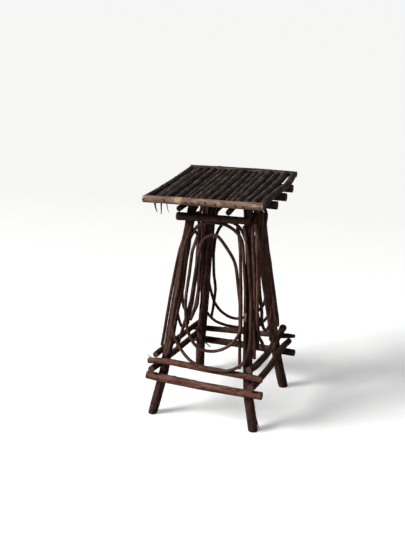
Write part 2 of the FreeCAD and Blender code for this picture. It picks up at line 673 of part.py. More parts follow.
def rounded(corners):
    """The corners of a twig with each bend made round, as places along it."""
    points = [Vector(along * span, 0, height * span) for along, height in corners]
    path = [points[0]]
    for before, corner, after in zip(points, points[1:], points[2:]):
        come, go = corner - before, after - corner
        reach = min(come.Length, go.Length) * bend_reach_share
        reach = min(reach, span * longest_bend_share)
        if come.getAngle(go) < gentle_bend:
            path.append(corner)
            continue
        first = corner - come.normalize() * reach
        last = corner + go.normalize() * reach
        path.append(first)
        for step in bend_step_shares:
            near, far = first + (corner - first) * step, corner + (last - corner) * step
            path.append(near + (far - near) * step)
        path.append(last)
    path.append(points[-1])
    return path


def twig(label, corners):
    """A twig bent round its corners, as a loft through circles square to it."""
    side = label.split("_")[0]
    frame = side_frame(side)
    path = eased_clear(side, frame, laid_over(label, side, frame, rounded(corners)))
    side_paths[side][label] = path
    body = document.addObject("PartDesign::Body", label)
    body.Label = label
    sections = []
    for number, point in enumerate(path):
        come = point - path[max(0, number - 1)]
        go = path[min(len(path) - 1, number + 1)] - point
        heading = Vector(0, 0, 0)
        for run in (come, go):
            if run.Length:
                heading = heading + run.normalize()
        heading.normalize()
        sketch = body.newObject("Sketcher::SketchObject", f"{label}_station_{number}")
        sketch.AttachmentSupport = (plane_of(body, "XY_Plane"), "")
        sketch.MapMode = "FlatFace"
        inward = Vector(0, 1, 0)
        turn = Rotation(inward, heading.cross(inward), heading, "ZXY")
        sketch.AttachmentOffset = Placement(point, turn)
        sketch.setExpression(".AttachmentOffset.Base.x", f"Sizes.twig_span * {point.x / span:.4f}")
        sketch.setExpression(".AttachmentOffset.Base.z", f"Sizes.twig_span * {point.z / span:.4f}")
        depth = point.y / size("twig_diameter")
        sketch.setExpression(".AttachmentOffset.Base.y", f"Sizes.twig_diameter * {depth:.4f}")
        circle = sketch.addGeometry(Part.Circle(Vector(0, 0, 0), UP, 1), False)
        sketch.addConstraint(Sketcher.Constraint("Coincident", circle, 3, -1, 1))
        index = sketch.addConstraint(Sketcher.Constraint("Radius", circle, 1.0))
        sketch.renameConstraint(index, "radius")
        sketch.setExpression(".Constraints.radius", "Sizes.twig_diameter / 2")
        sections.append(sketch)
    loft = body.newObject("PartDesign::AdditiveLoft", f"{label}_loft")
    loft.Profile = sections[0]
    loft.Sections = sections[1:]
    loft.Ruled = True
    body.Placement = frame
    document.recompute()
    sticks[label] = body
    lines[label] = [(frame.multVec(point), twig_radius) for point in path]


for side in SIDES:
    for kind in ("outer_arch", "inner_arch", "outer_loop", "inner_loop"):
        twig(f"{side}_{kind}", twig_shares[f"{side}_{kind}"])

# The nails. Each kind is made once, standing in the origin with its tip down, and every group of
# them is one node of separate solids. A hole a little wider than the nail is bored for each.
widest_air_share = 3.2
most_nails_per_pair = 2
nail_spacing_share = 0.6


def nail_body(label, kind):
    """A nail: a round shank under a flat round head, with the outer stick's surface at zero."""
    body = document.addObject("PartDesign::Body", label)
    rows = (
        ("shank", f"Sizes.nail_head_stand - Sizes.{kind}_length", f"Sizes.{kind}_diameter / 2"),
        ("head", f"Sizes.nail_head_stand - Sizes.{kind}_head_height", f"Sizes.{kind}_head_diameter / 2"),
    )
    for name, bottom, radius in rows:
        sketch = circle_sketch(body, f"{label}_{name}", bottom, "0", "0", radius)
        pad = body.newObject("PartDesign::Pad", f"{label}_{name}_pad")
        pad.Profile = sketch
        pad.setExpression("Length", f"Sizes.nail_head_stand - ({bottom})")
    document.recompute()
    return body


def bore_shape(kind):
    """What a nail takes out of the sticks it passes through, open above its head."""
    slack = size("nail_clearance")
    stand = size("nail_head_stand")
    depth = size(f"{kind}_length") - stand + slack
    shank = Part.makeCylinder(size(f"{kind}_diameter") / 2 + slack, depth, Vector(0, 0, -depth))
    sunk = size(f"{kind}_head_height") - stand + slack
    open_height = sunk + size("nail_sink") + size(f"{kind}_head_diameter")
    head = Part.makeCylinder(size(f"{kind}_head_diameter") / 2 + slack, open_height, Vector(0, 0, -sunk))
    return shank.fuse(head)


nail_shapes = {kind: nail_body(f"{kind}_pattern", kind).Shape.copy() for kind in ("nail", "twig_nail")}
bore_shapes = {kind: bore_shape(kind) for kind in nail_shapes}
bores = {label: [] for label in sticks}
nail_groups = {}


def drive(group, start, outward, pieces, kind="nail", sunk=False):
    """Drive a nail at a place on a stick's surface, through the sticks named."""
    outward = Vector(outward).normalize()
    across = outward.cross(Vector(outward.y, outward.z, outward.x)).normalize()
    turn = Rotation(across, outward.cross(across), outward, "ZXY")
    if sunk:
        start = start - outward * size("nail_sink")
    place = Placement(start, turn)
    nail = nail_shapes[kind].copy()
    nail.Placement = place
    nail_groups.setdefault(group, []).append(nail)
    for piece in pieces:
        bore = bore_shapes[kind].copy()
        bore.Placement = place
        bores[piece].append(bore)


def nail_through(group, outer, inner, kind="nail", sunk=False, shift=None):
    """Drive a nail where two sticks cross, from outside the outer one into the inner one."""
    gap, outer_point, inner_point, outer_radius, inner_radius = nearest(outer, inner)
    outward = (outer_point - inner_point).normalize()
    start = outer_point + outward * outer_radius
    if shift:
        start = start + shift
    drive(group, start, outward, (outer, inner), kind, sunk)


def twig_crossings(outer, inner):
    """The places, well apart, where a twig lies against another stick."""
    found = []
    for index, ((a0, radius_a), (a1, unused)) in enumerate(zip(lines[outer], lines[outer][1:])):
        for (b0, rb0), (b1, rb1) in zip(lines[inner], lines[inner][1:]):
            share_a, share_b = closest_shares(a0, a1, b0, b1)
            point_a, point_b = a0 + (a1 - a0) * share_a, b0 + (b1 - b0) * share_b
            air = (point_b - point_a).Length - radius_a - rb0 - (rb1 - rb0) * share_b
            found.append((air, point_a, point_b))
    chosen = []
    for air, point_a, point_b in sorted(found, key=lambda row: row[0]):
        if air > clearance * widest_air_share:
            break
        if all((point_a - other).Length > span * nail_spacing_share for unused, other in chosen):
            chosen.append((point_b, point_a))
    return chosen[:most_nails_per_pair]


for side_rail in SIDE_RAILS:
    for bearer in BEARERS:
        shift = Vector(0, -size("bearer_nail_offset"), 0)
        nail_through("bearer_nails", bearer, side_rail, sunk=True, shift=shift)
for rail in TOP_RAILS:
    for leg in TOP_RAILS[rail][:2]:
        nail_through("top_frame_nails", rail, leg)
    for side_rail in SIDE_RAILS:
        nail_through("top_frame_nails", side_rail, rail, sunk=True)
for rail, (first, second, values) in RAILS.items():
    for leg in (first, second):
        nail_through("rail_nails", rail, leg, shift=UP * size("rail_nail_offset"))
for label in slat_names:
    for bearer in ("front_bearer", "back_bearer"):
        gap, top_point, low_point, radius, low_radius = nearest(label, bearer)
        start = top_point + UP * radius
        shift = Vector(0, size("slat_nail_offset"), 0)
        drive("slat_nails", start + shift, UP, (label, bearer))

# The visible heads along the front strip, and a few along the back one, each into a slat's end.
front_nailed_slats = (1, 4, 7, 8, 9, 11, 14, 15, 17)
back_nailed_slats = (1, 5, 9, 13, 17)
for strip, places, end, outward in (
    ("front_edge_strip", front_nailed_slats, 0, OUTWARD["front"]),
    ("back_edge_strip", back_nailed_slats, -1, OUTWARD["back"]),
):
    for number in places:
        label = slat_names[number - 1]
        target, radius = lines[label][end]
        strip_line = lines[strip]
        for (near, near_radius), (far, far_radius) in zip(strip_line, strip_line[1:]):
            if target.x <= far.x or far is strip_line[-1][0]:
                share = (target.x - near.x) / (far.x - near.x)
                point = near + (far - near) * share
                strip_radius = near_radius + (far_radius - near_radius) * share
                break
        drive("edge_strip_nails", point + outward * strip_radius, outward, (strip, label))


# The twigs are nailed where they lie against a leg, the upper rail or each other.
for side, legs in SIDES.items():
    outer_arch, inner_arch = f"{side}_outer_arch", f"{side}_inner_arch"
    outer_loop, inner_loop = f"{side}_outer_loop", f"{side}_inner_loop"
    pairs = [(twig, leg) for twig in (outer_arch, outer_loop, inner_arch, inner_loop) for leg in legs]
    pairs += [(outer_loop, f"{side}_upper_rail"), (outer_loop, outer_arch), (outer_loop, inner_arch)]
    pairs += [(inner_loop, inner_arch)]
    if inner_loop in tucked_twigs:
        pairs.append((outer_arch, inner_loop))
    else:
        pairs.append((inner_loop, outer_arch))
    for outer, inner in pairs:
        for inner_point, outer_point in twig_crossings(outer, inner):
            outward = (outer_point - inner_point).normalize()
            drive("twig_nails", outer_point + outward * twig_radius, outward, (outer, inner), "twig_nail")

# The holes are bored, every piece is given its name, and all of them are checked and written.
pieces = {}
for label, body in sticks.items():
    if not bores[label]:
        pieces[label] = body
        continue
    body.Label = f"{label}_unbored"
    tool = document.addObject("Part::Feature", f"{label}_bores")
    tool.Shape = Part.makeCompound(bores[label])
    bored = document.addObject("Part::Cut", f"{label}_bored")
    bored.Base = body
    bored.Tool = tool
    bored.Label = label
    pieces[label] = bored
for group, nails in nail_groups.items():
    feature = document.addObject("Part::Feature", group)
    feature.Shape = Part.makeCompound(nails)
    feature.Label = group
    pieces[group] = feature
document.recompute()

for thing in document.Objects:
    if "Invalid" in thing.State or "Error" in thing.State:
        raise RuntimeError(f"{thing.Label} did not compute: {thing.State}")
for label, piece in pieces.items():
    if piece.Shape.isNull() or not piece.Shape.isValid():
        raise RuntimeError(f"{label} has no valid shape")

os.makedirs("parts", exist_ok=True)
for label, piece in pieces.items():
    piece.Shape.exportStep(f"parts/{label}.step")
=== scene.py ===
import math
import bpy
import numpy as np
from mathutils import Matrix, Vector


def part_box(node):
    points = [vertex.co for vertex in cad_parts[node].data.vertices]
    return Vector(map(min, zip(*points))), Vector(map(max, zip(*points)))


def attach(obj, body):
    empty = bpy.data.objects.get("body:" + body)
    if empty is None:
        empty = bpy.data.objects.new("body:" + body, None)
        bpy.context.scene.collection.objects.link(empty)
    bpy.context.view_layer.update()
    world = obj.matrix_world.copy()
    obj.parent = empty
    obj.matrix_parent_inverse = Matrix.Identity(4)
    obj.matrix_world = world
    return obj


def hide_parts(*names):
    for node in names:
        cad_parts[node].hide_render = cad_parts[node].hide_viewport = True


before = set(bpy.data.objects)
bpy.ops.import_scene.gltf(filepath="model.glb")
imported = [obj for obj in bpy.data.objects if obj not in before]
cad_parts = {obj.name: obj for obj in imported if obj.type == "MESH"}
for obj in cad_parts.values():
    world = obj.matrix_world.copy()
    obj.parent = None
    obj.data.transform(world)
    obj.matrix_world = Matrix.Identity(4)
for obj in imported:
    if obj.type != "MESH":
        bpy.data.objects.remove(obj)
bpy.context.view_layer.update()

# The legs: four hickory saplings as thick as a broom handle, cut green in winter so that the bark
# stays on, splayed outward and sawn level at the floor. The bark has dried to a dark grey-brown
# with fine furrows along it, and a knot here and there where a side shoot was cut off.
LEGS = ("front_left_leg", "front_right_leg", "back_right_leg", "back_left_leg")
# A look is how many facets go round a stick and how high its relief stands, in metres.
leg_look = {"facets": 60, "lump": 0.0006, "furrow": 0.0006, "knot": 0.0012, "inset": 0.0002}


def colour(code):
    """A colour written as sRGB hex, as the linear red, green and blue that Blender mixes."""
    parts = [int(code[place:place + 2], 16) / 255 for place in (1, 3, 5)]
    return [((part + 0.055) / 1.055) ** 2.4 if part > 0.04045 else part / 12.92 for part in parts] + [1.0]


def add(tree, kind, inputs=None, stops=(), **settings):
    """Add a node with its settings, each input given a value or linked from another's output.

    Each stop of a colour ramp is its place from 0 to 1 and its hex code."""
    node = tree.nodes.new(kind)
    for name, value in settings.items():
        setattr(node, name, value)
    for name, value in (inputs or {}).items():
        if isinstance(value, bpy.types.NodeSocket):
            tree.links.new(value, node.inputs[name])
        else:
            node.inputs[name].default_value = value
    for place, code in stops[1:-1]:
        node.color_ramp.elements.new(place)
    for index, (place, code) in enumerate(stops):
        stop = node.color_ramp.elements[index]
        stop.position = place
        stop.color = colour(code)
    return node


def new_material(name):
    """A new node material, its tree and its surface shader."""
    material = bpy.data.materials.new(name)
    material.use_nodes = True
    return material, material.node_tree, material.node_tree.nodes["Principled BSDF"]


def unit(way):
    """A direction at a length of one."""
    return way / np.linalg.norm(way)


def walked(places):
    """How far along a line each of its places is."""
    return np.concatenate(([0], np.cumsum(np.linalg.norm(np.diff(places, axis=0), axis=1))))


def triangles(node):
    """The corners of a CAD stick's triangles, and the way each one faces."""
    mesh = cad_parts[node].data
    mesh.calc_loop_triangles()
    places = np.empty(len(mesh.vertices) * 3)
    mesh.vertices.foreach_get("co", places)
    order = np.empty(len(mesh.loop_triangles) * 3, int)
    mesh.loop_triangles.foreach_get("vertices", order)
    corners = places.reshape(-1, 3)[order].reshape(-1, 3, 3)
    faces = np.cross(corners[:, 1] - corners[:, 0], corners[:, 2] - corners[:, 0])
    return corners, faces / np.maximum(np.linalg.norm(faces, axis=1), 1e-12)[:, None]


def ring(corners, faces, place, along, reach):
    """The middle and radius of a stick where a plane across it cuts its skin, bores left out."""
    fewest_points, fitting_rounds = 8, 4
    outward_share, radius_slack = 0.8, 0.12
    heights = (corners - place) @ along
    crossing = (heights.min(axis=1) < 0) & (heights.max(axis=1) > 0)
    corners, heights, faces = corners[crossing], heights[crossing], faces[crossing]
    points, outs = [], []
    for first, second in ((0, 1), (1, 2), (2, 0)):
        cut = heights[:, first] * heights[:, second] < 0
        share = heights[cut, first] / (heights[cut, first] - heights[cut, second])
        points.append(corners[cut, first] + (corners[cut, second] - corners[cut, first]) * share[:, None])
        outs.append(faces[cut])
    points, outs = np.concatenate(points), np.concatenate(outs)
    away = points - place
    kept = np.linalg.norm(away, axis=1) < reach
    points, outs = points[kept], outs[kept]
    if len(points) < fewest_points:
        return None
    any_other_way = (0.3, 0.5, 0.8)
    side = unit(np.cross(along, any_other_way))
    up = np.cross(along, side)
    middle, radius = (points.min(axis=0) + points.max(axis=0)) / 2, None
    for fitting in range(fitting_rounds):
        away = points - middle
        distance = np.maximum(np.linalg.norm(away, axis=1), 1e-9)
        kept = (away * outs).sum(axis=1) / distance > outward_share
        if radius:
            kept &= abs(distance - radius) < radius * radius_slack
        if kept.sum() < fewest_points:
            return None
        across, rise = away[kept] @ side, away[kept] @ up
        sums = np.column_stack((across, rise, np.ones(len(across))))
        fit = np.linalg.lstsq(sums, -(across ** 2 + rise ** 2), rcond=None)[0]
        middle = middle - side * fit[0] / 2 - up * fit[1] / 2
        radius = math.sqrt(max(0, (fit[0] ** 2 + fit[1] ** 2) / 4 - fit[2]))
    return middle, radius


def middle_line(node, along, step, reach, turning=False):
    """The middle line of a CAD stick from one end to the other, and its radius at each place.

    A turning stick is followed round its bends. Any other is cut squarely to one direction."""
    end_depth = 0.0004
    first_cut, first_reach, end_reach = 0.6, 1.4, 1.25
    corners, faces = triangles(node)
    cloud = corners.reshape(-1, 3)
    along = np.array(along, float)
    heights = cloud @ along
    lowest = cloud[heights < heights.min() + end_depth]
    if turning:
        lowest = lowest[np.linalg.norm(lowest - lowest[0], axis=1) < reach]
    low = lowest.mean(axis=0)
    found = ring(corners, faces, low + along * reach * first_cut, along, reach * first_reach)
    if turning:
        second = ring(corners, faces, found[0] + along * step, along, reach)
        along = unit(second[0] - found[0])
        found = ring(corners, faces, found[0], along, reach)
    path = [found]
    headings = [along]
    while found:
        found = ring(corners, faces, path[-1][0] + along * step, along, reach)
        if found:
            if turning:
                along = unit(found[0] - path[-1][0])
            path.append(found)
            headings.append(along)
    places, radii = (list(column) for column in zip(*path))
    for end, heading in ((0, -headings[0]), (-1, headings[-1])):
        inner = 1 if end == 0 else -2
        lean = places[end] - places[inner]
        lean = lean / abs(lean @ heading)
        away = cloud - places[end]
        ahead = away @ heading
        aside = np.linalg.norm(away - ahead[:, None] * lean, axis=1)
        last = ahead[(aside < radii[end] * end_reach) & (ahead < step * 2 + reach)].max()
        tip = places[end] + lean * last
        if end == 0:
            places, radii = [tip, *places], [radii[0], *radii]
        else:
            places, radii = [*places, tip], [*radii, radii[-1]]
    return np.array(places), np.array(radii)


def eased(values, reach):
    """Values along a stick with their corners smoothed, the two ends kept where they are."""
    weights = np.exp(-0.5 * (np.arange(-reach * 2, reach * 2 + 1) / reach) ** 2)
    weights /= weights.sum()
    before = 2 * values[0] - values[reach * 2:0:-1]
    after = 2 * values[-1] - values[-2:-reach * 2 - 2:-1]
    longer = np.concatenate((before, values, after))
    if values.ndim == 1:
        return np.convolve(longer, weights, "valid")
    return np.column_stack([np.convolve(column, weights, "valid") for column in longer.T])


# The bark round a stick: a circle swept along the middle line at the stick's own girth, then
# pushed in and out by broad lumps, long furrows and the knots of lost side shoots. Its sawn
# ends stay flat apart from the saw's marks.

# A pattern's scale is how many of its marks go to a metre: lumps are 26 mm wide, furrows 2.4 mm,
# the saw's marks 2 mm, and places for a knot lie 31 mm apart.
lumps_per_metre, furrows_per_metre = 38.0, 420.0
knots_per_metre, saw_marks_per_metre = 32.0, 500.0
# A furrow's width is this share of its length, and the saw's marks are this deep, in metres.
furrow_width_share, saw_depth = 0.14, 0.0008

bark_tree = bpy.data.node_groups.new("bark_round_a_stick", "GeometryNodeTree")
bark_sockets = {}
for name, kind in (
    ("Stick", "NodeSocketGeometry"), ("Facets", "NodeSocketInt"), ("Lump height", "NodeSocketFloat"),
    ("Furrow height", "NodeSocketFloat"), ("Knot height", "NodeSocketFloat"), ("Inset", "NodeSocketFloat"),
    ("Bark", "NodeSocketMaterial"), ("End grain", "NodeSocketMaterial"),
):
    socket = bark_tree.interface.new_socket(name, in_out="INPUT", socket_type=kind)
    bark_sockets[name] = socket.identifier
bark_tree.interface.new_socket("Stick", in_out="OUTPUT", socket_type="NodeSocketGeometry")

given = add(bark_tree, "NodeGroupInput").outputs
girth, cut, run, turn = (
    add(bark_tree, "GeometryNodeInputNamedAttribute", {"Name": name}, data_type=kind).outputs[0]
    for name, kind in (("girth", "FLOAT"), ("cut", "FLOAT"), ("run", "FLOAT"), ("turn", "FLOAT_VECTOR"))
)
line = add(bark_tree, "GeometryNodeMeshToCurve", {"Mesh": given["Stick"]})
circle = add(bark_tree, "GeometryNodeCurvePrimitiveCircle", {"Resolution": given["Facets"], "Radius": 1.0})
place = add(bark_tree, "GeometryNodeInputPosition").outputs[0]
circle = add(
    bark_tree, "GeometryNodeStoreNamedAttribute",
    {"Geometry": circle.outputs[0], "Name": "turn", "Value": place}, data_type="FLOAT_VECTOR",
)
skin = add(
    bark_tree, "GeometryNodeCurveToMesh",
    {"Curve": line.outputs[0], "Profile Curve": circle.outputs[0], "Scale": girth},
)
skin = add(bark_tree, "GeometryNodeMergeByDistance", {"Geometry": skin.outputs[0], "Distance": 0.000004})
scaled = add(bark_tree, "ShaderNodeVectorMath", {0: turn, "Scale": girth}, operation="SCALE").outputs[0]
lengthwise = add(bark_tree, "ShaderNodeCombineXYZ", {"Z": run}).outputs[0]
bark_place = add(bark_tree, "ShaderNodeVectorMath", {0: scaled, 1: lengthwise}, operation="ADD").outputs[0]

lump = add(
    bark_tree, "ShaderNodeTexNoise", {"Vector": bark_place, "Scale": lumps_per_metre, "Detail": 1.0}
).outputs["Fac"]
long_place = add(
    bark_tree, "ShaderNodeVectorMath",
    {0: bark_place, 1: (1, 1, furrow_width_share)}, operation="MULTIPLY",
).outputs[0]
furrow = add(
    bark_tree, "ShaderNodeTexNoise",
    {
        "Vector": long_place, "Scale": furrows_per_metre, "Detail": 3.0, "Roughness": 0.6,
        "Distortion": 0.3,
    },
).outputs["Fac"]
# About three in ten of the places for a knot have one, up to 16 mm across.
knot_cell = add(
    bark_tree, "ShaderNodeTexVoronoi",
    {"Vector": bark_place, "Scale": knots_per_metre, "Randomness": 1.0},
)
picked = add(
    bark_tree, "ShaderNodeMapRange",
    {"Value": knot_cell.outputs["Color"], "From Min": 0.62, "From Max": 0.66},
).outputs[0]
boss = add(
    bark_tree, "ShaderNodeMapRange",
    {"Value": knot_cell.outputs["Distance"], "From Min": 0.26, "From Max": 0.06},
    interpolation_type="SMOOTHSTEP",
).outputs[0]
knot = add(bark_tree, "ShaderNodeMath", {0: boss, 1: picked}, operation="MULTIPLY").outputs[0]

heights = []
for value, middle, height in (
    (lump, 0.5, given["Lump height"]),
    (furrow, 0.5, given["Furrow height"]),
    (knot, 0.0, given["Knot height"]),
):
    centred = add(bark_tree, "ShaderNodeMath", {0: value, 1: middle}, operation="SUBTRACT").outputs[0]
    raised = add(bark_tree, "ShaderNodeMath", {0: centred, 1: height}, operation="MULTIPLY").outputs[0]
    heights.append(raised)
# Lumps and furrows count twice, since their noise swings only half way up and half way down.
relief = add(bark_tree, "ShaderNodeMath", {0: heights[0], 1: heights[1]}, operation="ADD").outputs[0]
relief = add(
    bark_tree, "ShaderNodeMath", {0: relief, 1: 2.0, 2: heights[2]}, operation="MULTIPLY_ADD"
).outputs[0]
relief = add(bark_tree, "ShaderNodeMath", {0: relief, 1: given["Inset"]}, operation="SUBTRACT").outputs[0]
saw = add(
    bark_tree, "ShaderNodeTexNoise",
    {"Vector": bark_place, "Scale": saw_marks_per_metre, "Detail": 2.0},
).outputs["Fac"]
saw = add(
    bark_tree, "ShaderNodeMapRange", {"Value": saw, "To Min": -saw_depth, "To Max": 0.0}
).outputs[0]
relief = add(
    bark_tree, "ShaderNodeMix", {"Factor": cut, "A": relief, "B": saw}, data_type="FLOAT"
).outputs[0]
facing = add(bark_tree, "GeometryNodeInputNormal").outputs[0]
offset = add(bark_tree, "ShaderNodeVectorMath", {0: facing, "Scale": relief}, operation="SCALE").outputs[0]
# The furrow pattern is kept on the skin so that the bark's colour can paint shade into the furrows and a
# highlight onto the ridges.
for name, kind, value in (
    ("bark", "FLOAT_VECTOR", bark_place), ("furrow", "FLOAT", furrow), ("knot", "FLOAT", knot),
):
    skin = add(
        bark_tree, "GeometryNodeStoreNamedAttribute",
        {"Geometry": skin.outputs[0], "Name": name, "Value": value}, data_type=kind,
    )
skin = add(bark_tree, "GeometryNodeSetPosition", {"Geometry": skin.outputs[0], "Offset": offset})
skin = add(bark_tree, "GeometryNodeSetShadeSmooth", {"Geometry": skin.outputs[0]})
skin = add(bark_tree, "GeometryNodeRealizeInstances", {"Geometry": skin.outputs[0]})
skin = add(bark_tree, "GeometryNodeSetMaterial", {"Geometry": skin.outputs[0], "Material": given["Bark"]})
sawn = add(
    bark_tree, "FunctionNodeCompare", {"A": cut, "B": 0.6}, data_type="FLOAT", operation="GREATER_THAN"
)
skin = add(
    bark_tree, "GeometryNodeSetMaterial",
    {"Geometry": skin.outputs[0], "Selection": sawn.outputs[0], "Material": given["End grain"]},
)
add(bark_tree, "NodeGroupOutput", {0: skin.outputs[0]})


def bark_material(name, furrow_shade_and_dark_streak, body, ridge_highlight_and_pale_fibre, blush, blush_share, roughness):
    """Dried bark: painted shade makes it dark in its furrows and a painted highlight makes it greyer on
    its ridges, with a blush where it is thin.
    """
    material, tree, shader = new_material(name)
    bark = add(tree, "ShaderNodeAttribute", attribute_name="bark").outputs["Vector"]
    depth = add(tree, "ShaderNodeAttribute", attribute_name="furrow").outputs["Fac"]
    boss = add(tree, "ShaderNodeAttribute", attribute_name="knot").outputs["Fac"]
    worn = add(tree, "ShaderNodeAttribute", attribute_name="worn").outputs["Fac"]
    # Fibres of the bark are 1.2 mm wide and run along the stick, its blotches are 18 mm wide, its
    # grit is 0.7 mm and its dark streaks are 10 mm. Real fibres and grit are finer, and these are
    # drawn as coarse as they need to show.
    fibres_per_metre, blotches_per_metre = 850.0, 55.0
    grits_per_metre, streaks_per_metre = 1500.0, 95.0
    fibre_width_share, streak_width_share = 0.09, 0.22
    stretched = add(
        tree, "ShaderNodeVectorMath", {0: bark, 1: (1, 1, fibre_width_share)}, operation="MULTIPLY"
    ).outputs[0]
    fibre = add(
        tree, "ShaderNodeTexNoise",
        {"Vector": stretched, "Scale": fibres_per_metre, "Detail": 4.0, "Roughness": 0.65},
    ).outputs["Fac"]
    blotch = add(
        tree, "ShaderNodeTexNoise",
        {"Vector": bark, "Scale": blotches_per_metre, "Detail": 3.0, "Roughness": 0.6},
    ).outputs["Fac"]
    grain = add(
        tree, "ShaderNodeTexNoise", {"Vector": bark, "Scale": grits_per_metre, "Detail": 2.0}
    ).outputs["Fac"]
    height = add(tree, "ShaderNodeMath", {0: fibre, 1: depth}, operation="ADD").outputs[0]
    height = add(
        tree, "ShaderNodeMath", {0: grain, 1: 0.35, 2: height}, operation="MULTIPLY_ADD"
    ).outputs[0]
    # Long streaks of a stick are stained darker than the rest of it, and each furrow is darkened with
    # painted shade.
    streaks = add(
        tree, "ShaderNodeVectorMath", {0: bark, 1: (1, 1, streak_width_share)}, operation="MULTIPLY"
    ).outputs[0]
    stain = add(
        tree, "ShaderNodeTexNoise", {"Vector": streaks, "Scale": streaks_per_metre, "Detail": 3.0}
    ).outputs["Fac"]
    stained = add(
        tree, "ShaderNodeMath", {0: stain, 1: 1.1, 2: height}, operation="MULTIPLY_ADD"
    ).outputs[0]
    # The tone runs from the dark colour, painted shade in the furrows and dark stain streaks, to the light
    # colour, a painted highlight on the ridges and pale fibres.
    tone = add(
        tree, "ShaderNodeMapRange", {"Value": stained, "From Min": 1.35, "From Max": 2.1}
    ).outputs[0]
    base = add(
        tree, "ShaderNodeValToRGB", {"Fac": tone}, ((0.0, furrow_shade_and_dark_streak), (0.45, body), (1.0, ridge_highlight_and_pale_fibre))
    ).outputs["Color"]
    share = add(
        tree, "ShaderNodeMapRange",
        {"Value": blotch, "From Min": 0.42, "From Max": 0.68, "To Min": 0.0, "To Max": blush_share},
    ).outputs[0]
    base = add(
        tree, "ShaderNodeMix", {"Factor": share, "A": base, "B": colour(blush)}, data_type="RGBA"
    ).outputs["Result"]
    # A knot is scarred brown on top.
    scar = add(
        tree, "ShaderNodeMapRange", {"Value": boss, "From Min": 0.55, "From Max": 0.95}
    ).outputs[0]
    base = add(
        tree, "ShaderNodeMix", {"Factor": scar, "A": base, "B": colour("#3f2a22")}, data_type="RGBA"
    ).outputs["Result"]
    # Where the bark has peeled, with a ragged edge, orange inner bark and pale wood show.
    inner = add(
        tree, "ShaderNodeValToRGB", {"Fac": fibre}, ((0.3, "#9a5527"), (0.62, "#ecc9a0"))
    ).outputs["Color"]
    ragged = add(tree, "ShaderNodeMath", {0: fibre, 1: 0.5}, operation="SUBTRACT").outputs[0]
    ragged = add(
        tree, "ShaderNodeMath", {0: ragged, 1: 0.9, 2: worn}, operation="MULTIPLY_ADD"
    ).outputs[0]
    peeled = add(
        tree, "ShaderNodeMapRange", {"Value": ragged, "From Min": 0.45, "From Max": 0.6}
    ).outputs[0]
    base = add(
        tree, "ShaderNodeMix", {"Factor": peeled, "A": base, "B": inner}, data_type="RGBA"
    ).outputs["Result"]
    tree.links.new(base, shader.inputs["Base Color"])
    crevice_roughness = min(1.0, roughness + 0.2)
    rough = add(
        tree, "ShaderNodeMapRange", {"Value": tone, "To Min": crevice_roughness, "To Max": roughness}
    ).outputs[0]
    tree.links.new(rough, shader.inputs["Roughness"])
    bump = add(tree, "ShaderNodeBump", {"Height": height, "Strength": 0.7, "Distance": 0.0006})
    tree.links.new(bump.outputs[0], shader.inputs["Normal"])
    # Old dry bark hardly shines.
    shader.inputs["IOR"].default_value = 1.45
    shader.inputs["Specular IOR Level"].default_value = 0.1
    return material


def end_grain_material():
    """A sawn end of hickory gone grey-brown with age: growth rings, open pores and a dark pith."""
    # Rings stand 1.2 mm apart, so a metre holds 5200 radians of their wave, and they waver over
    # 4.5 mm. Pores are 0.6 mm wide, and the pith is 3 mm across with a soft edge.
    ring_radians_per_metre, wavers_per_metre, pores_per_metre = 5200.0, 220.0, 1600.0
    pith_inner, pith_outer = 0.0011, 0.0019
    material, tree, shader = new_material("weathered_sawn_end_grain")
    bark = add(tree, "ShaderNodeAttribute", attribute_name="bark").outputs["Vector"]
    flat = add(
        tree, "ShaderNodeVectorMath", {0: bark, 1: (1, 1, 0.02)}, operation="MULTIPLY"
    ).outputs[0]
    wander = add(
        tree, "ShaderNodeTexNoise", {"Vector": flat, "Scale": wavers_per_metre, "Detail": 3.0}
    ).outputs["Fac"]
    split = add(tree, "ShaderNodeSeparateXYZ", {"Vector": bark}).outputs
    across = add(tree, "ShaderNodeMath", {0: split[0], 1: split[0]}, operation="MULTIPLY").outputs[0]
    across = add(
        tree, "ShaderNodeMath", {0: split[1], 1: split[1], 2: across}, operation="MULTIPLY_ADD"
    ).outputs[0]
    out = add(tree, "ShaderNodeMath", {0: across}, operation="SQRT").outputs[0]
    rings = add(
        tree, "ShaderNodeMath", {0: out, 1: ring_radians_per_metre}, operation="MULTIPLY"
    ).outputs[0]
    rings = add(
        tree, "ShaderNodeMath", {0: wander, 1: 5.0, 2: rings}, operation="MULTIPLY_ADD"
    ).outputs[0]
    rings = add(tree, "ShaderNodeMath", {0: rings}, operation="SINE").outputs[0]
    pores = add(
        tree, "ShaderNodeTexNoise", {"Vector": flat, "Scale": pores_per_metre, "Detail": 2.0}
    ).outputs["Fac"]
    tone = add(
        tree, "ShaderNodeMath", {0: rings, 1: 0.16, 2: pores}, operation="MULTIPLY_ADD"
    ).outputs[0]
    wood = add(
        tree, "ShaderNodeValToRGB", {"Fac": tone}, ((0.28, "#1d120d"), (0.75, "#573d2f"))
    ).outputs["Color"]
    pith = add(
        tree, "ShaderNodeMapRange", {"Value": out, "From Min": pith_inner, "From Max": pith_outer}
    ).outputs[0]
    base = add(
        tree, "ShaderNodeMix", {"Factor": pith, "A": colour("#140c08"), "B": wood}, data_type="RGBA"
    ).outputs["Result"]
    tree.links.new(base, shader.inputs["Base Color"])
    bump = add(tree, "ShaderNodeBump", {"Height": tone, "Strength": 0.6, "Distance": 0.0005})
    tree.links.new(bump.outputs[0], shader.inputs["Normal"])
    shader.inputs["Roughness"].default_value = 0.85
    return material


end_grain = end_grain_material()
# Bark left on and never varnished: matt, with painted shade making it nearly black in its furrows and a
# painted highlight making it grey-brown on its ridges.
dark_bark = bark_material(
    "dried_dark_hickory_bark", "#110907", "#34221d", "#604a41", "#4a2b23", 0.5, 0.55
)


